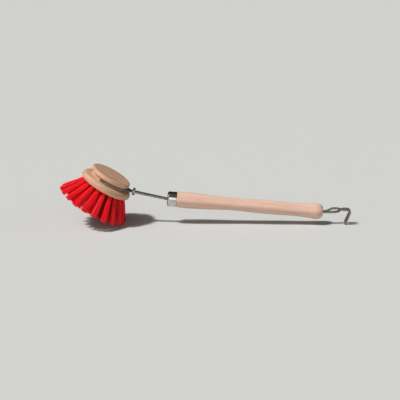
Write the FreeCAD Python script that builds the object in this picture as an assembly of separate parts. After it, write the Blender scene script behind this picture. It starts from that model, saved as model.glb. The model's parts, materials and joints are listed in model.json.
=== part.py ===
import FreeCAD, Part
import math
import os

from FreeCAD import Placement, Rotation, Vector

# Dish brush, standing on its rear tufts and the tip of its hook.
# +Z is up, the head is towards -X, the hook towards +X, and near pieces are towards -Y.
# The origin is the middle of the footprint. Lengths are in millimetres and angles in degrees.

# Wire: one length of spring steel, doubled
wire_diameter = 2.2
strand_gap = 0.2
wire_clearance = 0.15

# Head: heights are measured from the plane of the wire clip
cap_diameter = 39.6
cap_height = 6.2
base_diameter = 50.0
base_depth = 7.8
groove_depth = 2.8
groove_clearance = 0.25
lip_flare = 0.5
ledge_drop = 0.6
underside_crown = 3.0
top_round_share = 0.32
lip_round_share = 0.33
shoulder_round_share = 0.55
foot_round_share = 0.30

# Tufts: rows from the rim inwards, each folded round a staple at the bottom of its hole
tuft_length = 25.7
tuft_tip_diameter = 6.0
tuft_hole_diameter = 3.6
tuft_fit = 0.1
hole_floor_margin = 2.0
staple_thickness = 0.4
staple_height = 2.0
staple_seat = 1.0
outer_count = 20
middle_count = 20
inner_count = 8
outer_splay_angle = 34.8
middle_splay_angle = 22.0
inner_splay_angle = 12.0
outer_turn_share = 0.32
middle_turn_share = 0.82
outer_radius_share = 0.78
middle_radius_share = 0.605
inner_radius_share = 0.34
middle_length_share = 0.95
inner_length_share = 0.92
centre_length_share = 0.88

# Clip arms, fork and collar
arm_wrap = 114.5
arm_gap = 0.2
fork_inset = 2.0
fork_clearance = 2.4
fork_rise = 0.8
fork_bend_radius = 3.0
entry_bend_radius = 20.0
entry_share = 0.55
collar_diameter = 7.3
collar_width = 2.4
collar_setback = 1.9
collar_edge_round = 0.5

# Stem, ferrule and handle
head_tilt = 30.0
stem_slope = 12.5
stem_length = 34.1
stem_bend_radius = 15.0
neck_length = 1.5
handle_slope = 4.7
ferrule_length = 9.3
ferrule_diameter = 14.3
ferrule_wall = 0.7
ferrule_front_round = 1.8
ferrule_rim_round = 0.5
grip_length = 138.9
grip_step = 0.25
shoulder_diameter = 15.2
waist_diameter = 12.0
belly_diameter = 13.3
neck_diameter = 12.5
knob_diameter = 15.1
end_flat_diameter = 7.4
shoulder_share = 0.068
waist_share = 0.376
belly_share = 0.622
neck_share = 0.806
knob_share = 0.95

# Hook: the doubled wire opens into a half-twisted eye, then turns down to the floor
hook_root = 12.0
hook_reach = 27.0
hook_rise = 2.3
hook_lean = 22.6
hook_bend_radius = 3.4
loop_spacing = 4.8
eye_height = 3.5
eye_bend_radius = 5.0
exit_share = 0.075
eye_open_shares = (0.37, 0.65)
eye_close_shares = (0.54, 0.70)
bar_shares = (0.70, 1.0)
eye_side_share = 0.7

# One overrun for every cut
overrun = 1.0

# Worked-out sizes
wire_radius = wire_diameter / 2
strand_offset = (wire_diameter + strand_gap) / 2
bore_radius = strand_offset + wire_radius + wire_clearance
cap_radius = cap_diameter / 2
base_radius = base_diameter / 2
groove_half = wire_radius + groove_clearance
ring_radius = cap_radius - groove_depth + groove_half
fork_reach = max(base_radius - fork_inset, cap_radius + fork_clearance)
hole_radius = tuft_hole_diameter / 2
root_radius = hole_radius - tuft_fit
handle_length = ferrule_length + grip_length
hinge_back = collar_setback + collar_width / 2

# Tufts by row
tuft_counts = {"outer": outer_count, "middle": middle_count, "inner": inner_count, "centre": 1}
tuft_turns = {"outer": outer_turn_share, "middle": middle_turn_share, "inner": outer_turn_share, "centre": 0}
tuft_splay = {
    "outer": outer_splay_angle,
    "middle": middle_splay_angle,
    "inner": inner_splay_angle,
    "centre": 0,
}
tuft_radii = {
    "outer": base_radius * outer_radius_share,
    "middle": base_radius * middle_radius_share,
    "inner": base_radius * inner_radius_share,
    "centre": 0,
}
tuft_lengths = {
    "outer": tuft_length,
    "middle": tuft_length * middle_length_share,
    "inner": tuft_length * inner_length_share,
    "centre": tuft_length * centre_length_share,
}

# Directions: the head's axis and the way from it to the fork, the stem and the handle
head_turn = Rotation(Vector(0, 1, 0), head_tilt)
head_axis = head_turn.multVec(Vector(0, 0, 1))
head_back = head_turn.multVec(Vector(1, 0, 0))
near_side = Vector(0, -1, 0)
stem_turn = Rotation(Vector(0, 1, 0), 90 + stem_slope)
stem_axis = stem_turn.multVec(Vector(0, 0, 1))
handle_turn = Rotation(Vector(0, 1, 0), 90 + handle_slope)
handle_axis = handle_turn.multVec(Vector(0, 0, 1))

# Places along the wire, from the middle of the clip
fork_point = head_back * fork_reach + head_axis * fork_rise
collar_point = fork_point + stem_axis * hinge_back
bend_point = fork_point + stem_axis * stem_length
ferrule_point = bend_point + handle_axis * neck_length
end_point = ferrule_point + handle_axis * handle_length
root_point = end_point - handle_axis * hook_root


def line(start, end):
    return Part.LineSegment(start, end).toShape()


def arc(start, middle, end):
    return Part.Arc(start, middle, end).toShape()


def quarter(start, corner, end):
    """A quarter round, as wide and as high as its corner leaves it."""
    round_share = 0.5523
    curve = Part.BezierCurve()
    curve.setPoles([start, start + (corner - start) * round_share, end + (corner - end) * round_share, end])
    return curve.toShape()


def turned(edges):
    """A solid of revolution about local Z from a closed outline in the XZ plane."""
    return Part.Face(Part.Wire(edges)).revolve(Vector(0, 0, 0), Vector(0, 0, 1), 360)


def placed(shape, point, turn):
    shape.Placement = Placement(point, turn).multiply(shape.Placement)
    return shape


def bent_route(points, radii):
    """Straight runs joined by tangent arcs, one radius for each inner point."""
    run_share = 0.49
    edges = []
    last = points[0]
    for before, point, after, radius in zip(points, points[1:], points[2:], radii):
        inward = (point - before).normalize()
        outward = (after - point).normalize()
        half_turn = inward.getAngle(outward) / 2
        room = run_share * min((point - before).Length, (after - point).Length)
        reach = min(radius * math.tan(half_turn), room)
        start = point - inward * reach
        end = point + outward * reach
        to_centre = (outward - inward).normalize()
        bow = reach / math.tan(half_turn) * (1 / math.cos(half_turn) - 1)
        edges.append(line(last, start))
        edges.append(arc(start, point + to_centre * bow, end))
        last = end
    edges.append(line(last, points[-1]))
    return edges


def swept_wire(edges):
    """Round wire along a route, with square ends."""
    route = Part.Wire(edges)
    start = route.OrderedVertexes[0].Point
    first = route.OrderedEdges[0]
    heading = first.tangentAt(first.FirstParameter)
    section = Part.Wire(Part.makeCircle(wire_radius, start, heading))
    solid = route.makePipeShell([section], True, False)
    ideal = math.pi * wire_radius ** 2 * route.Length
    print("wire length %.2f, volume against section times length %.5f" % (route.Length, solid.Volume / ideal))
    return solid


def underside_height(radius):
    """Height of the head's crowned underside at a distance from its axis."""
    crown_radius = (foot_radius() ** 2 + underside_crown ** 2) / (2 * underside_crown)
    drop = crown_radius - math.sqrt(crown_radius ** 2 - radius ** 2)
    return drop - base_depth - underside_crown


def foot_radius():
    side = base_depth - groove_half - ledge_drop
    return base_radius - side * foot_round_share


def tuft_depth(row):
    """A tuft's hole ends a margin of wood below the groove."""
    splay = math.radians(tuft_splay[row])
    start = underside_height(tuft_radii[row])
    room = -groove_half - hole_floor_margin - start - hole_radius * math.sin(splay)
    return room / math.cos(splay)


def tuft_places():
    """Each tuft's name, row, root and turn, in the head's own frame."""
    for row, count in tuft_counts.items():
        radius = tuft_radii[row]
        for index in range(count):
            angle = 360 * (index + tuft_turns[row]) / count
            around = Rotation(Vector(0, 0, 1), angle)
            root = around.multVec(Vector(radius, 0, underside_height(radius)))
            outward = Rotation(Vector(0, 1, 0), 180 - tuft_splay[row])
            name = "tuft_%s_%02d" % (row, index + 1) if count > 1 else "tuft_" + row
            yield name, row, root, around.multiply(outward)


def tuft(row):
    """A bundle of filaments: a folded root in the hole, then a slight flare to the cut tips."""
    depth = tuft_depth(row) - tuft_fit
    length = tuft_lengths[row]
    tip_radius = tuft_tip_diameter / 2
    corners = [
        Vector(0, 0, -depth),
        Vector(root_radius, 0, -depth),
        Vector(root_radius, 0, 0),
        Vector(tip_radius, 0, length),
        Vector(0, 0, length),
    ]
    bundle = turned([line(a, b) for a, b in zip(corners, corners[1:] + corners[:1])])
    slot_width = staple_thickness + tuft_fit
    slot_length = 2 * root_radius + 2 * overrun
    slot = Part.makeBox(slot_length, slot_width, staple_height + tuft_fit)
    slot.translate(Vector(-slot_length / 2, -slot_width / 2, staple_seat - depth))
    return bundle.cut(slot)


def staple(row):
    """Flat steel staple across the folded root of a tuft."""
    depth = tuft_depth(row) - tuft_fit
    plate = Part.makeBox(2 * root_radius, staple_thickness, staple_height)
    plate.translate(Vector(-root_radius, -staple_thickness / 2, staple_seat - depth))
    return plate


def tuft_hole(row):
    depth = tuft_depth(row)
    return Part.makeCylinder(hole_radius, depth + overrun, Vector(0, 0, -depth))


def head_cap():
    """Upper part of the turned head: a flat-topped flange and the grooved neck that the arms hold."""
    lip = groove_half + lip_flare
    top_round = (cap_height - lip) * top_round_share
    lip_round = (cap_height - lip) * lip_round_share
    top = Vector(0, 0, cap_height)
    top_edge = Vector(cap_radius - top_round, 0, cap_height)
    side_top = Vector(cap_radius, 0, cap_height - top_round)
    side_foot = Vector(cap_radius, 0, lip + lip_round)
    lip_edge = Vector(cap_radius - lip_round, 0, lip)
    groove_top = Vector(ring_radius, 0, groove_half)
    groove_floor = Vector(ring_radius - groove_half, 0, 0)
    groove_foot = Vector(ring_radius, 0, -groove_half)
    middle = Vector(0, 0, -groove_half)
    blank = turned([
        line(top, top_edge),
        quarter(top_edge, Vector(cap_radius, 0, cap_height), side_top),
        line(side_top, side_foot),
        quarter(side_foot, Vector(cap_radius, 0, lip), lip_edge),
        line(lip_edge, groove_top),
        arc(groove_top, groove_floor, groove_foot),
        line(groove_foot, middle),
        line(middle, top),
    ])
    return placed(blank, Vector(0, 0, 0), head_turn)


def head_base():
    """Lower part of the turned head: a ledge, a rounded rim and a crowned underside with the tufts' holes."""
    ledge = -groove_half - ledge_drop
    shoulder_round = (base_depth + ledge) * shoulder_round_share
    foot_round = base_radius - foot_radius()
    crown_middle = foot_radius() / 2
    middle = Vector(0, 0, -groove_half)
    groove_foot = Vector(ring_radius, 0, -groove_half)
    ledge_edge = Vector(base_radius - shoulder_round, 0, ledge)
    side_top = Vector(base_radius, 0, ledge - shoulder_round)
    side_foot = Vector(base_radius, 0, foot_round - base_depth)
    foot_edge = Vector(foot_radius(), 0, -base_depth)
    crown_point = Vector(crown_middle, 0, underside_height(crown_middle))
    pole = Vector(0, 0, -base_depth - underside_crown)
    blank = turned([
        line(middle, groove_foot),
        line(groove_foot, ledge_edge),
        quarter(ledge_edge, Vector(base_radius, 0, ledge), side_top),
        line(side_top, side_foot),
        quarter(side_foot, Vector(base_radius, 0, -base_depth), foot_edge),
        arc(foot_edge, crown_point, pole),
        line(pole, middle),
    ])
    holes = [placed(tuft_hole(row), root, turn) for name, row, root, turn in tuft_places()]
    return placed(blank.cut(Part.makeCompound(holes)), Vector(0, 0, 0), head_turn)


def head_piece(shape, root, turn):
    """A tuft or staple, from its own frame to the head's place."""
    return placed(placed(shape, root, turn), Vector(0, 0, 0), head_turn)


def floor_height():
    """The floor is where the lowest tuft's tip ends."""
    tips = []
    for name, row, root, turn in tuft_places():
        tip = root + turn.multVec(Vector(0, 0, tuft_lengths[row]))
        tips.append(head_turn.multVec(tip).z)
    return min(tips)


def trimmed(shape, floor):
    """A tuft that reaches the floor is cut level with it."""
    box = shape.BoundBox
    if box.ZMin >= floor:
        return shape
    below = Part.makeBox(box.XLength + 2 * overrun, box.YLength + 2 * overrun, floor - box.ZMin + overrun)
    below.translate(Vector(box.XMin - overrun, box.YMin - overrun, box.ZMin - overrun))
    return shape.cut(below)


def clip_arm(side):
    """Spring arm: out of the collar, round the fork, into the groove and on past the head's middle."""
    offset = side * strand_offset
    start = collar_point + offset
    fork = fork_point + offset
    lead = math.atan2(strand_offset, fork_reach)
    touch_angle = lead + math.acos(ring_radius / math.hypot(fork_reach, strand_offset))
    wrap = math.radians(arm_wrap)

    def on_ring(angle):
        return head_back * (ring_radius * math.cos(angle)) + side * (ring_radius * math.sin(angle))

    touch = on_ring(touch_angle)
    fork_below = fork - head_axis * fork_rise
    entry = fork_below + (touch - fork_below) * entry_share
    edges = bent_route([start, fork, entry, touch], [fork_bend_radius, entry_bend_radius])
    edges.append(arc(touch, on_ring((touch_angle + wrap) / 2), on_ring(wrap)))
    return swept_wire(edges)


def strand(side):
    """One strand of the stem, from the collar through the ferrule and the handle to the hook's root."""
    offset = side * strand_offset
    start = collar_point + stem_axis * arm_gap
    route = [point + offset for point in (start, bend_point, root_point)]
    return swept_wire(bent_route(route, [stem_bend_radius]))


def hook_half(side, lift):
    """Half of the hook from its root to the corner of its bar; the halves change sides in the eye."""
    def station(shares):
        along_share, rise_share = shares
        return end_point + Vector(hook_reach * along_share, 0, hook_rise * rise_share)

    eye_side = side * (strand_offset * eye_side_share)
    eye_lift = Vector(0, 0, lift * eye_height / 2)
    leaving = end_point + handle_axis * (hook_reach * exit_share)
    loop_side = side * (-loop_spacing / 2)
    return [
        root_point + side * strand_offset,
        leaving + side * strand_offset,
        station(eye_open_shares) + eye_side + eye_lift,
        station(eye_close_shares) - eye_side + eye_lift,
        station(bar_shares) + loop_side,
        end_point + Vector(hook_reach, 0, hook_rise) + loop_side,
    ]


def hook_loop(floor):
    """Both halves of the hook and the fold at its tip, which stands on the floor."""
    near_half = hook_half(near_side, -1)
    far_half = hook_half(-near_side, 1)
    lean = math.radians(hook_lean)
    leg = (near_half[-1].z - wire_radius - floor) / math.cos(lean)
    down = Vector(-math.sin(lean), 0, -math.cos(lean)) * leg
    route = near_half + [near_half[-1] + down, far_half[-1] + down] + far_half[::-1]
    half_radii = [eye_bend_radius] * 4 + [hook_bend_radius]
    return swept_wire(bent_route(route, half_radii + [loop_spacing / 2] * 2 + half_radii[::-1]))


def collar():
    """Slip ring round both strands, with rounded edges."""
    inner = bore_radius
    outer = collar_diameter / 2
    half = collar_width / 2
    edge = collar_edge_round
    ring = turned([
        line(Vector(inner, 0, -half), Vector(outer - edge, 0, -half)),
        quarter(Vector(outer - edge, 0, -half), Vector(outer, 0, -half), Vector(outer, 0, edge - half)),
        line(Vector(outer, 0, edge - half), Vector(outer, 0, half - edge)),
        quarter(Vector(outer, 0, half - edge), Vector(outer, 0, half), Vector(outer - edge, 0, half)),
        line(Vector(outer - edge, 0, half), Vector(inner, 0, half)),
        line(Vector(inner, 0, half), Vector(inner, 0, -half)),
    ])
    return placed(ring, collar_point, stem_turn)


def ferrule():
    """Drawn metal cap with a hole for the strands, a rounded front and an eased rim."""
    outer = ferrule_diameter / 2
    inner = outer - ferrule_wall
    front = ferrule_front_round
    inside = front - ferrule_wall
    rim = ferrule_rim_round
    cap = turned([
        line(Vector(bore_radius, 0, 0), Vector(outer - front, 0, 0)),
        quarter(Vector(outer - front, 0, 0), Vector(outer, 0, 0), Vector(outer, 0, front)),
        line(Vector(outer, 0, front), Vector(outer, 0, ferrule_length - rim)),
        quarter(Vector(outer, 0, ferrule_length - rim), Vector(outer, 0, ferrule_length),
                Vector(outer - rim, 0, ferrule_length)),
        line(Vector(outer - rim, 0, ferrule_length), Vector(inner, 0, ferrule_length)),
        line(Vector(inner, 0, ferrule_length), Vector(inner, 0, front)),
        quarter(Vector(inner, 0, front), Vector(inner, 0, ferrule_wall),
                Vector(inner - inside, 0, ferrule_wall)),
        line(Vector(inner - inside, 0, ferrule_wall), Vector(bore_radius, 0, ferrule_wall)),
        line(Vector(bore_radius, 0, ferrule_wall), Vector(bore_radius, 0, 0)),
    ])
    return placed(cap, ferrule_point, handle_turn)


def handle():
    """Turned grip: a spigot in the ferrule, swells and waists, a knob with a round end, and a bore."""
    spigot = ferrule_diameter / 2 - ferrule_wall
    ease = ferrule_front_round

    def station(diameter, share):
        return Vector(diameter / 2, 0, ferrule_length + grip_length * share)

    front = Vector(ferrule_diameter / 2 + grip_step, 0, ferrule_length)
    swells = [
        front,
        station(shoulder_diameter, shoulder_share),
        station(waist_diameter, waist_share),
        station(belly_diameter, belly_share),
        station(neck_diameter, neck_share),
        station(knob_diameter, knob_share),
    ]
    profile = Part.BSplineCurve()
    profile.interpolate(Points=swells, FinalTangent=Vector(0, 0, 1))
    knob = swells[-1]
    end_edge = Vector(end_flat_diameter / 2, 0, handle_length)
    blank = turned([
        line(Vector(0, 0, ferrule_wall), Vector(spigot - ease, 0, ferrule_wall)),
        quarter(Vector(spigot - ease, 0, ferrule_wall), Vector(spigot, 0, ferrule_wall),
                Vector(spigot, 0, ferrule_wall + ease)),
        line(Vector(spigot, 0, ferrule_wall + ease), Vector(spigot, 0, ferrule_length)),
        line(Vector(spigot, 0, ferrule_length), front),
        profile.toShape(),
        quarter(knob, Vector(knob.x, 0, handle_length), end_edge),
        line(end_edge, Vector(0, 0, handle_length)),
        line(Vector(0, 0, handle_length), Vector(0, 0, ferrule_wall)),
    ])
    bore = Part.makeCylinder(bore_radius, handle_length + 2 * overrun, Vector(0, 0, -overrun))
    return placed(blank.cut(bore), ferrule_point, handle_turn)


def build():
    """Every piece by name, placed from the middle of the clip."""
    floor = floor_height()
    pieces = {
        "handle": handle(),
        "ferrule": ferrule(),
        "near_strand": strand(near_side),
        "far_strand": strand(-near_side),
        "hook_loop": hook_loop(floor),
        "collar": collar(),
        "near_arm": clip_arm(near_side),
        "far_arm": clip_arm(-near_side),
        "head_cap": head_cap(),
        "head_base": head_base(),
    }
    staples = []
    for name, row, root, turn in tuft_places():
        pieces[name] = trimmed(head_piece(tuft(row), root, turn), floor)
        staples.append(head_piece(staple(row), root, turn))
    pieces["staples"] = Part.makeCompound(staples)
    return pieces, floor


def main():
    os.makedirs("parts", exist_ok=True)
    pieces, floor = build()
    box = FreeCAD.BoundBox()
    for shape in pieces.values():
        box.add(shape.optimalBoundingBox(False, False))
    shift = Vector(-box.Center.x, -box.Center.y, -floor)
    for name, shape in pieces.items():
        shape.translate(shift)
        shape.exportStep("parts/%s.step" % name)
    print("box %.3f x %.3f x %.3f" % (box.XLength, box.YLength, box.ZLength))
    places = {
        "head_centre": shift,
        "collar": collar_point + shift,
        "near_hinge": collar_point + near_side * strand_offset + shift,
        "far_hinge": collar_point - near_side * strand_offset + shift,
        "bend": bend_point + shift,
        "handle_end": end_point + shift,
        "hook_corner": end_point + Vector(hook_reach, 0, hook_rise) + shift,
        "head_axis": head_axis,
        "stem_axis": stem_axis,
        "handle_axis": handle_axis,
    }
    for name, point in places.items():
        print("%s %.5f %.5f %.5f" % (name, point.x, point.y, point.z))


main()
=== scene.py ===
import json
import math
import random

import bmesh
import bpy
from mathutils import Matrix, Vector


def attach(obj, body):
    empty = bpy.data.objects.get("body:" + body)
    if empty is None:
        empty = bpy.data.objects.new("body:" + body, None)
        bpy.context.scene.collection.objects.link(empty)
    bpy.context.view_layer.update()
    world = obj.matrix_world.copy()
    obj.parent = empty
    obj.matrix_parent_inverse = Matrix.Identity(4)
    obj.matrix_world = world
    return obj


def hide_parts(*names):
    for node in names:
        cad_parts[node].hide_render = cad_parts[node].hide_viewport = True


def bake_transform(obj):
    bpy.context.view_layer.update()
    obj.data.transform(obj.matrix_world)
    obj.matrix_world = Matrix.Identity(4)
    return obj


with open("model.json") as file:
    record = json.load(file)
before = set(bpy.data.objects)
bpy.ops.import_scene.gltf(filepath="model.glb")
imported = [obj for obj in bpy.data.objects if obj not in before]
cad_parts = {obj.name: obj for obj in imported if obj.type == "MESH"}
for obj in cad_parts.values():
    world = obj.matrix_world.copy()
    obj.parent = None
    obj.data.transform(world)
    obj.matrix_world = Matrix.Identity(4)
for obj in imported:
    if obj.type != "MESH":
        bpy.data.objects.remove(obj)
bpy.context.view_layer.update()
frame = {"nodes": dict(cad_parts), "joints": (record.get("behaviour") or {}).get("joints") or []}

# Dish brush: beech handle and head, doubled steel wire, plated ferrule and collar, red nylon tufts.
# It stands on its rear tufts and the tip of its hook. Lengths are in metres.

joints = {joint["name"]: joint for joint in frame["joints"]}
mm = 0.001

# Head: its middle, its axis, the way from it to the stem, and how far its axis is tilted
head_centre = Vector(joints["head_turn"]["pos_m"])
head_axis = Vector(joints["head_turn"]["axis"])
near_side = Vector((0, -1, 0))
head_back = head_axis.cross(near_side).normalized()
head_tilt = math.atan2(head_axis.x, head_axis.z)

# Stem and handle: the collar slides along the stem, and the handle's grain slopes down to the rear
stem_axis = Vector(joints["collar_slide"]["axis"])
handle_slope = math.radians(4.7)

# Tufts, row by row: how many there are, their turn as a share of their spacing, their splay in
# degrees, their roots' distance from the head's axis, their length, how far their tips reach
# sideways and in and out from their middle, and their shades of red. The outer row takes the
# paler reds. The rows behind it are painted a darker red, which is painted shade for the shade
# they lie in among the tufts.
paler = (0.3, 1.0)
painted_shade_reds = (0.0, 0.45)
tuft_rows = {
    "outer": dict(
        count=20, turn=0.32, splay=34.8, distance=0.0195, length=0.0257,
        tip_width=0.003, tip_depth=0.0018, tones=paler),
    "middle": dict(
        count=20, turn=0.82, splay=22.0, distance=0.015125, length=0.024415,
        tip_width=0.0036, tip_depth=0.002, tones=painted_shade_reds),
    "inner": dict(
        count=8, turn=0.32, splay=12.0, distance=0.0085, length=0.023644,
        tip_width=0.0031, tip_depth=0.0022, tones=painted_shade_reds),
    "centre": dict(
        count=1, turn=0.0, splay=0.0, distance=0.0, length=0.022616,
        tip_width=0.0031, tip_depth=0.0031, tones=painted_shade_reds),
}

# The head's underside: the radius of its crown, and its lowest point as seen from the head's middle
underside_radius = 0.0916
underside_height = -0.0108

# Roots: how deep in its hole a tuft starts, and how wide it is there
root_depth = 0.002
root_radius = 0.00152

# What use has done to the tips: front ones are bent outwards, rear ones inwards, and the middle row
# is twisted. A higher power keeps the bend closer to the very front and the very rear.
front_set = 0.0016
rear_set = 0.002
set_power = 4
middle_twist = 0.0021

# Filaments: a few are loose and stray further, and more are cut short than long
filament_count = 84
filament_diameter = 0.0004
filament_sides = 5
filament_cuts = 3
filament_stray = 0.00018
loose_share = 0.12
loose_stray = 0.0009
stray_power = 2
length_spread = 0.0008
longer_share = 0.4
tuft_spread = 0.0006
tuft_shade = 0.2
flare_power = 0.6
angle_jitter = 0.2
golden_angle = math.pi * (3 - math.sqrt(5))
floor_clearance = 0.0001

# Wire: the gap between a strand and its arm, how near to its middle their end faces are and how
# square to the stem, how close points count as one, and half the stretch that bends, with its rings
split_gap = 0.0002
meeting_reach = 2 * split_gap
end_face_cosine = 0.99
snap_distance = split_gap / 20
bend_half = 0.004
bend_rings = 8

# Edges that turn by more than this stay sharp
sharp_angle = math.radians(40)

# Floor and key light
floor_half = 40.0
key_place = Vector((-0.6, -0.3, 1.0))
key_angle = math.radians(6)
key_energy = 3.12

# Dome: its bands by height, and how it darkens from the near side to behind the brush
sky_bands = [
    (0.0, "#9C9C9A"), (0.2, "#B4B4B4"), (0.3, "#F4F4F2"), (0.5, "#F4F4F2"),
    (0.6, "#4A4C50"), (0.8, "#525458"), (0.95, "#7E8083"),
]
fall_place = (-0.3, 0.6)
fall_light = (0.48, 0.08)

# The dome's bright patches: the cosines at which they begin and are full, and their brightness
glow_edge = (0.92, 0.985)
glow_light = 1.7
screen_place = Vector((0.03, -0.93, 0.34))
screen_edge = (0.94, 0.975)
screen_light = 1.5

# Camera: a long lens, a little above the brush
camera_elevation = math.radians(14.75)
camera_yaw = math.radians(-0.93)
camera_distance = 1.1
view_width = 0.38
sensor_width = 36.0
target_from_head = Vector((0.08618, 0.0, -0.01953))

draws = random.Random(1)


def linear(code):
    """An sRGB hex colour as linear RGBA."""
    channels = [int(code[i:i + 2], 16) / 255 for i in (1, 3, 5)]
    return [c / 12.92 if c <= 0.04045 else ((c + 0.055) / 1.055) ** 2.4 for c in channels] + [1.0]


def feed(tree, node, inputs):
    """Give a node its inputs: a socket is linked, and a value is set."""
    for name, value in inputs.items():
        if isinstance(value, bpy.types.NodeSocket):
            tree.links.new(value, node.inputs[name])
        else:
            node.inputs[name].default_value = value


def add(tree, kind, inputs=None, stops=(), **settings):
    """A new shader node: settings are its properties, and stops are a ramp's."""
    made = tree.nodes.new("ShaderNode" + kind)
    for name, value in settings.items():
        setattr(made, name, value)
    feed(tree, made, inputs or {})
    for i, (position, colour) in enumerate(stops):
        elements = made.color_ramp.elements
        element = elements[i] if i < 2 else elements.new(position)
        element.position = position
        element.color = linear(colour)
    return made


def pattern_space(tree, place, size):
    """A place counted in a pattern's sizes along X, Y and Z."""
    scale = [1 / length for length in size]
    return add(tree, "VectorMath", {0: place, 1: scale}, operation="MULTIPLY").outputs[0]


def weighted(tree, value, weight, rest):
    """A value times its weight, and the rest added."""
    return add(tree, "Math", {0: value, 1: weight, 2: rest}, operation="MULTIPLY_ADD").outputs[0]


def ranged(tree, value, old, new):
    """A value carried over from the old range to the new one, and held within it."""
    limits = {0: value, 1: old[0], 2: old[1], 3: new[0], 4: new[1]}
    return add(tree, "MapRange", limits).outputs[0]


def mixed(tree, share, first, second):
    """The first colour with a share of the second."""
    return add(tree, "Mix", {0: share, 6: first, 7: second}, data_type="RGBA").outputs[2]


def new_material(name):
    """An empty material, its node tree and its principled shader."""
    material = bpy.data.materials.new(name)
    material.use_nodes = True
    tree = material.node_tree
    return material, tree, tree.nodes["Principled BSDF"]


def along_grain(tree, vector, slope):
    """A vector turned so that X lies along the grain."""
    turn = {"Vector": vector, "Rotation": (0, slope, 0)}
    return add(tree, "Mapping", turn, vector_type="TEXTURE").outputs[0]


def beech(name, slope, pale, dark, fleck):
    """Beech, turned and sanded: pinkish tan with soft growth bands, long fibres and short dark ray
    flecks. The grain runs along X turned down by the slope. It has a dull sheen and a darker end
    grain."""
    # Fibres: real ones are finer, and these are as coarse as shows
    fibre_size = (16 * mm, 0.9 * mm, 0.9 * mm)
    fibre_weight = 0.75
    # Growth bands: pale to dark in 3 mm, the same all along the grain but for a slow waver, round a
    # pith that lies 27 and 42 mm aside
    band_size = (math.inf, 3 * mm, 3 * mm)
    band_weight = 0.35
    pith_bands = (0.0, 9.0, 14.0)
    waver_size = (45 * mm, 12 * mm, 12 * mm)
    waver_bands = 2.2
    # Ray flecks: about 3 mm long and 0.4 mm wide, one to a cell
    cell_size = (8 * mm, 1.1 * mm, 1.1 * mm)

    material, tree, shader = new_material(name)
    place = add(tree, "TexCoord")
    along = along_grain(tree, place.outputs["Object"], slope)

    fibre_space = pattern_space(tree, along, fibre_size)
    fibre_look = {"Vector": fibre_space, "Scale": 1.0, "Detail": 3.0, "Roughness": 0.6}
    fibres = add(tree, "TexNoise", fibre_look).outputs[0]

    waver_space = pattern_space(tree, along, waver_size)
    waver = add(tree, "TexNoise", {"Vector": waver_space, "Scale": 1.0, "Detail": 2.0}).outputs[0]
    across = pattern_space(tree, along, band_size)
    from_pith = add(tree, "VectorMath", {0: across, 1: pith_bands}, operation="ADD").outputs[0]
    ring = add(tree, "VectorMath", {0: from_pith}, operation="LENGTH").outputs["Value"]
    shifted = weighted(tree, waver, waver_bands, ring)
    band = add(tree, "Math", {0: shifted, 1: 1.0}, operation="PINGPONG").outputs[0]

    bands = add(tree, "Math", {0: band, 1: band_weight}, operation="MULTIPLY").outputs[0]
    tone = weighted(tree, fibres, fibre_weight, bands)
    wood = add(tree, "ValToRGB", {0: tone}, stops=[(0.25, pale), (0.85, dark)]).outputs[0]

    cell_space = pattern_space(tree, along, cell_size)
    cells = add(tree, "TexVoronoi", {"Vector": cell_space, "Scale": 1.0})
    flecks = ranged(tree, cells.outputs["Distance"], (0.12, 0.30), (0.4, 0.0))
    flecked = mixed(tree, flecks, wood, linear(fleck))

    # End grain: faces across the grain drink more and look darker
    facing = along_grain(tree, place.outputs["Normal"], slope)
    lengthwise = add(tree, "SeparateXYZ", {0: facing}).outputs[0]
    end = add(tree, "Math", {0: lengthwise}, operation="ABSOLUTE").outputs[0]
    end_share = ranged(tree, end, (0.55, 1.0), (0.0, 0.45))

    bump = {"Height": tone, "Strength": 0.25, "Distance": 0.1 * mm}
    feed(tree, shader, {
        "Base Color": mixed(tree, end_share, flecked, linear(dark)),
        "Roughness": ranged(tree, fibres, (0.3, 0.7), (0.48, 0.62)),
        "Normal": add(tree, "Bump", bump).outputs[0],
        "Specular IOR Level": 0.45,
    })
    return material


def plated_steel(name, colour, dull, low, high, bare):
    """Nickel-plated steel, drawn and polished: a cool mirror with fine rubbing marks and duller
    patches, rough from low to high. The bare share is what the dull film of use leaves free."""
    # Rubbing marks run round the handle's axis
    mark_size = (0.4 * mm, 6 * mm, 6 * mm)
    mark_weight = 0.5
    patch_size = 4 * mm

    material, tree, shader = new_material(name)
    place = add(tree, "TexCoord").outputs["Object"]
    mark_space = pattern_space(tree, place, mark_size)
    marks = add(tree, "TexNoise", {"Vector": mark_space, "Scale": 1.0, "Detail": 2.0}).outputs[0]
    patch_look = {"Vector": place, "Scale": 1 / patch_size, "Detail": 3.0}
    patches = add(tree, "TexNoise", patch_look).outputs[0]
    wear = weighted(tree, marks, mark_weight, patches)

    bump = {"Height": marks, "Strength": 0.12, "Distance": 0.05 * mm}
    feed(tree, shader, {
        "Base Color": add(
            tree, "ValToRGB", {0: patches}, stops=[(0.35, dull), (0.65, colour)]).outputs[0],
        "Roughness": ranged(tree, wear, (0.5, 1.0), (low, high)),
        "Normal": add(tree, "Bump", bump).outputs[0],
        "Metallic": bare,
    })
    return material


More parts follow.
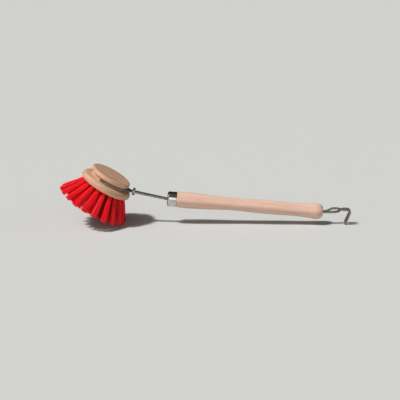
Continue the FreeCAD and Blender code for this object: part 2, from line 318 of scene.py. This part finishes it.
def drawn_wire():
    """Drawn spring steel wire: dark warm grey with a soft sheen, faint draw marks and spots of dull
    oxide, whose film scatters light as bare metal does not."""
    spot_size = 1.5 * mm
    mark_size = 0.3 * mm

    material, tree, shader = new_material("drawn_spring_wire")
    place = add(tree, "TexCoord").outputs["Object"]
    spot_look = {"Vector": place, "Scale": 1 / spot_size, "Detail": 4.0, "Roughness": 0.6}
    spots = add(tree, "TexNoise", spot_look).outputs[0]
    mark_look = {"Vector": place, "Scale": 1 / mark_size, "Detail": 1.0}
    marks = add(tree, "TexNoise", mark_look).outputs[0]

    bump = {"Height": marks, "Strength": 0.1, "Distance": 0.05 * mm}
    feed(tree, shader, {
        "Base Color": add(
            tree, "ValToRGB", {0: spots}, stops=[(0.35, "#6A6660"), (0.62, "#A29D95")]).outputs[0],
        "Roughness": ranged(tree, spots, (0.3, 0.7), (0.3, 0.16)),
        "Metallic": ranged(tree, spots, (0.35, 0.65), (0.72, 0.9)),
        "Normal": add(tree, "Bump", bump).outputs[0],
    })
    return material


def red_nylon():
    """Red nylon filament, drawn and cut: saturated red, a little see-through, with a thin gloss
    along each hair."""
    # The low end of this ramp is mostly taken by the rows behind the outer one, which are painted
    # darker as painted shade; within a row the red varies at random
    reds = [(0.0, "#A80810"), (0.4, "#F20E1A"), (0.6, "#FF1420"), (1.0, "#FF222C")]
    # The cut tips, about the last 2 mm, look paler
    tip_red = "#F8404A"
    tip_start = 0.93
    tip_share = 0.25

    material, tree, shader = new_material("red_nylon_filament")
    tone = add(tree, "Attribute", attribute_name="tone").outputs["Fac"]
    along = add(tree, "Attribute", attribute_name="along").outputs["Fac"]
    hair = add(tree, "ValToRGB", {0: tone}, stops=reds).outputs[0]
    tip = ranged(tree, along, (tip_start, 1.0), (0.0, tip_share))
    feed(tree, shader, {
        "Base Color": mixed(tree, tip, hair, linear(tip_red)),
        "Roughness": ranged(tree, tone, (0.0, 1.0), (0.3, 0.42)),
        "IOR": 1.53,
        "Specular IOR Level": 0.35,
        "Subsurface Weight": 0.08,
        "Subsurface Radius": (1.0, 0.12, 0.08),
        "Subsurface Scale": 0.6 * mm,
    })
    return material


def staple_steel():
    """Bare flat steel of the staples: grey, rolled, with faint streaks."""
    streak_size = 0.2 * mm

    material, tree, shader = new_material("rolled_staple_steel")
    place = add(tree, "TexCoord").outputs["Object"]
    streak_look = {"Vector": place, "Scale": 1 / streak_size, "Detail": 2.0}
    streaks = add(tree, "TexNoise", streak_look).outputs[0]
    feed(tree, shader, {
        "Base Color": add(
            tree, "ValToRGB", {0: streaks}, stops=[(0.3, "#7A7874"), (0.7, "#A8A6A2")]).outputs[0],
        "Roughness": ranged(tree, streaks, (0.3, 0.7), (0.3, 0.45)),
        "Metallic": 1.0,
    })
    return material


def new_piece(name, bm, material):
    """A finished bmesh as an object at the origin, smooth but for its sharp edges."""
    mesh = bpy.data.meshes.new(name)
    bm.to_mesh(mesh)
    bm.free()
    # Normals that came with a solid's mesh don't fit the new one
    if "custom_normal" in mesh.attributes:
        mesh.attributes.remove(mesh.attributes["custom_normal"])
    mesh.shade_smooth()
    mesh.set_sharp_from_angle(angle=sharp_angle)
    mesh.materials.clear()
    mesh.materials.append(material)
    piece = bpy.data.objects.new(name, mesh)
    bpy.context.scene.collection.objects.link(piece)
    return piece


def filament_shape():
    """One straight filament: a unit prism along Z with a few cuts to bend at."""
    bm = bmesh.new()
    upright = Matrix.Translation((0, 0, 0.5))
    bmesh.ops.create_cone(
        bm, cap_ends=True, segments=filament_sides, radius1=1, radius2=1, depth=1, matrix=upright)
    sides = [edge for edge in bm.edges if edge.verts[0].co.z != edge.verts[1].co.z]
    bmesh.ops.subdivide_edges(bm, edges=sides, cuts=filament_cuts)
    mesh = bpy.data.meshes.new("filament_shape")
    bm.to_mesh(mesh)
    bm.free()
    return mesh


def tuft(name, node, row, root, direction, side, lean, shape, material):
    """A bundle of filaments, close at the hole and fanned out to uneven tips, with a few loose
    ones. The staple makes the fan wider to the side. The lean is how far tips are bent aside."""
    bm = bmesh.new()
    tone = bm.verts.layers.float.new("tone")
    along = bm.verts.layers.float.new("along")
    tip_width = row["tip_width"]
    tip_depth = row["tip_depth"]
    other = direction.cross(side)
    start = root - direction * root_depth
    lowest = floor_clearance + filament_diameter / 2
    whole = row["length"] + root_depth + draws.uniform(-tuft_spread, tuft_spread)
    shade = draws.uniform(-tuft_shade, tuft_shade)
    for index in range(filament_count):
        # Even places over the bundle, by the golden angle
        out_share = math.sqrt((index + 0.5) / filament_count)
        angle = index * golden_angle + draws.uniform(-angle_jitter, angle_jitter)
        aside = math.cos(angle) * out_share
        inward = math.sin(angle) * out_share
        wander = loose_stray if draws.random() < loose_share else filament_stray
        stray = lean + side * draws.gauss(0, wander) + other * draws.gauss(0, wander)
        reach = whole + draws.uniform(-length_spread, length_spread * longer_share)
        # A row's tones set its red: the rows behind the outer one are painted darker as painted
        # shade, and each filament and tuft also varies at random
        colour = draws.uniform(*row["tones"]) + shade
        # A filament that would go into the floor ends just above it
        drift = side * (tip_width * aside) + other * (tip_depth * inward) + stray
        if (start + drift + direction * reach).z < lowest:
            reach = (lowest - start.z - drift.z) / direction.z
        count = len(bm.verts)
        bm.from_mesh(shape)
        bm.verts.ensure_lookup_table()
        for vert in bm.verts[count:]:
            share = vert.co.z
            flare = share ** flare_power
            wide = root_radius + (tip_width - root_radius) * flare
            deep = root_radius + (tip_depth - root_radius) * flare
            middle = start + direction * (reach * share)
            middle = middle + side * (wide * aside) + other * (deep * inward)
            middle += stray * share ** stray_power
            vert[tone] = colour
            vert[along] = share
            vert.co = middle + (side * vert.co.x + other * vert.co.y) * (filament_diameter / 2)
    piece = new_piece(name, bm, material)
    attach(piece, "head")
    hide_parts(node)


def all_tufts(material):
    """Every row of tufts, each tuft from its own hole in the head's crowned underside."""
    shape = filament_shape()
    for row_name, row in tuft_rows.items():
        count = row["count"]
        distance = row["distance"]
        slant = math.radians(row["splay"])
        drop = math.sqrt(underside_radius ** 2 - distance ** 2)
        height = underside_height + underside_radius - drop
        for index in range(count):
            angle = 2 * math.pi * (index + row["turn"]) / count
            outward = head_back * math.cos(angle) - near_side * math.sin(angle)
            root = head_centre + outward * distance + head_axis * height
            direction = outward * math.sin(slant) - head_axis * math.cos(slant)
            side = head_axis.cross(outward)
            bent = front_set if math.cos(angle) < 0 else -rear_set
            lean = outward * (bent * math.cos(angle) ** set_power)
            if row_name == "middle":
                lean += side * middle_twist
            ending = "_%s_%02d" % (row_name, index + 1) if count > 1 else "_" + row_name
            tuft(
                "filaments" + ending, "tuft" + ending, row, root, direction, side, lean,
                shape, material)
    bpy.data.meshes.remove(shape)


def joined_wire(name, strand, arm, joint, material):
    """A strand and its clip arm as the one unbroken wire that they are, bending where the collar
    holds it."""
    hinge = Vector(joints[joint]["pos_m"])
    bm = bmesh.new()
    for node in (strand, arm):
        bm.from_mesh(frame["nodes"][node].data)
    bmesh.ops.remove_doubles(bm, verts=bm.verts, dist=snap_distance)
    # The two end faces that meet at the hinge go, and a bridge closes the gap
    meeting = []
    for face in bm.faces:
        offset = (face.calc_center_median() - hinge).dot(stem_axis)
        across = abs(face.normal.dot(stem_axis)) > end_face_cosine
        if across and abs(offset) < meeting_reach:
            meeting.append(face)
    bmesh.ops.delete(bm, geom=meeting, context="FACES")
    rims = [edge for edge in bm.edges if edge.is_boundary]
    bmesh.ops.bridge_loops(bm, edges=rims)
    # Rings to bend at
    for step in range(-bend_rings, bend_rings + 1):
        where = hinge + stem_axis * (bend_half * step / bend_rings)
        parts = bm.verts[:] + bm.edges[:] + bm.faces[:]
        bmesh.ops.bisect_plane(
            bm, geom=parts, dist=snap_distance, plane_co=where, plane_no=stem_axis)
    bmesh.ops.recalc_face_normals(bm, faces=bm.faces)
    piece = new_piece(name, bm, material)
    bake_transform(piece)
    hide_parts(strand, arm)


def finish_node(node, material):
    """A solid that is shown as it is, with its finish."""
    frame["nodes"][node].material_slots[0].material = material


def build_brush():
    """Finishes for the solids that are shown, and the pieces that replace the others."""
    handle_beech = beech("turned_beech_handle", handle_slope, "#E3C0AD", "#D2A893", "#AF866E")
    head_beech = beech("turned_beech_head", head_tilt, "#DFB598", "#BB8C6D", "#93684A")
    ferrule_plate = plated_steel(
        "nickel_plated_ferrule", colour="#D9D6D0", dull="#C2BEB7", low=0.16, high=0.28, bare=1.0)
    collar_plate = plated_steel(
        "nickel_plated_collar", colour="#A8A49E", dull="#8C8882", low=0.2, high=0.3, bare=0.85)
    wire = drawn_wire()
    finish_node("handle", handle_beech)
    for node in ("head_cap", "head_base"):
        finish_node(node, head_beech)
    finish_node("ferrule", ferrule_plate)
    finish_node("collar", collar_plate)
    finish_node("hook_loop", wire)
    finish_node("staples", staple_steel())
    joined_wire("near_wire", "near_strand", "near_arm", "near_arm_spread", wire)
    joined_wire("far_wire", "far_strand", "far_arm", "far_arm_spread", wire)
    all_tufts(red_nylon())


def stage_floor():
    """A wide pale floor."""
    bm = bmesh.new()
    bmesh.ops.create_grid(bm, x_segments=1, y_segments=1, size=floor_half)
    mesh = bpy.data.meshes.new("floor")
    bm.to_mesh(mesh)
    bm.free()
    floor = bpy.data.objects.new("floor", mesh)
    bpy.context.scene.collection.objects.link(floor)
    material, tree, shader = new_material("pale_floor")
    matt = {"Base Color": linear("#CCCCC9"), "Roughness": 0.9, "Specular IOR Level": 0.1}
    feed(tree, shader, matt)
    mesh.materials.append(material)


def bright_patch(tree, way, place, edge, light, behind):
    """A round bright patch on the dome, over what is behind it."""
    towards = {0: way, 1: place.normalized()}
    near = add(tree, "VectorMath", towards, operation="DOT_PRODUCT").outputs["Value"]
    share = ranged(tree, near, edge, (0.0, 1.0))
    return mixed(tree, share, behind, (light, light, light, 1.0))


def studio_light():
    """A key from above and the left, and a dome that is pale near the floor, dark higher up and
    darker behind the brush. It has two bright patches: one round the key, and a screen above the
    camera."""
    key = bpy.data.lights.new("key", "SUN")
    key.angle = key_angle
    key.energy = key_energy
    lamp = bpy.data.objects.new("key", key)
    lamp.location = key_place
    lamp.rotation_euler = (-key_place).to_track_quat("-Z", "Y").to_euler()
    # The key is small and would burn white spots into metal, which mirrors the dome's glow instead
    lamp.visible_glossy = False
    bpy.context.scene.collection.objects.link(lamp)

    world = bpy.data.worlds.new("studio")
    world.use_nodes = True
    tree = world.node_tree
    way = add(tree, "TexCoord").outputs["Generated"]
    parts = add(tree, "SeparateXYZ", {0: way})
    sky = add(tree, "ValToRGB", {0: parts.outputs[2]}, stops=sky_bands).outputs[0]
    fall = ranged(tree, parts.outputs[1], fall_place, fall_light)
    dimmed = add(tree, "VectorMath", {0: sky, "Scale": fall}, operation="SCALE").outputs[0]
    lit = bright_patch(tree, way, key_place, glow_edge, glow_light, dimmed)
    dome = bright_patch(tree, way, screen_place, screen_edge, screen_light, lit)
    feed(tree, tree.nodes["Background"], {"Color": dome})
    bpy.context.scene.world = world


def photo_camera():
    """A long lens a little above the brush, from the near side."""
    forward = Vector((
        math.sin(camera_yaw) * math.cos(camera_elevation),
        math.cos(camera_yaw) * math.cos(camera_elevation),
        -math.sin(camera_elevation),
    ))
    camera = bpy.data.cameras.new("camera")
    camera.sensor_width = sensor_width
    camera.lens = sensor_width * camera_distance / view_width
    holder = bpy.data.objects.new("camera", camera)
    holder.location = head_centre + target_from_head - forward * camera_distance
    holder.rotation_euler = forward.to_track_quat("-Z", "Y").to_euler()
    bpy.context.scene.collection.objects.link(holder)
    bpy.context.scene.camera = holder


build_brush()
stage_floor()
studio_light()
photo_camera()
bpy.context.scene.view_settings.view_transform = "Standard"
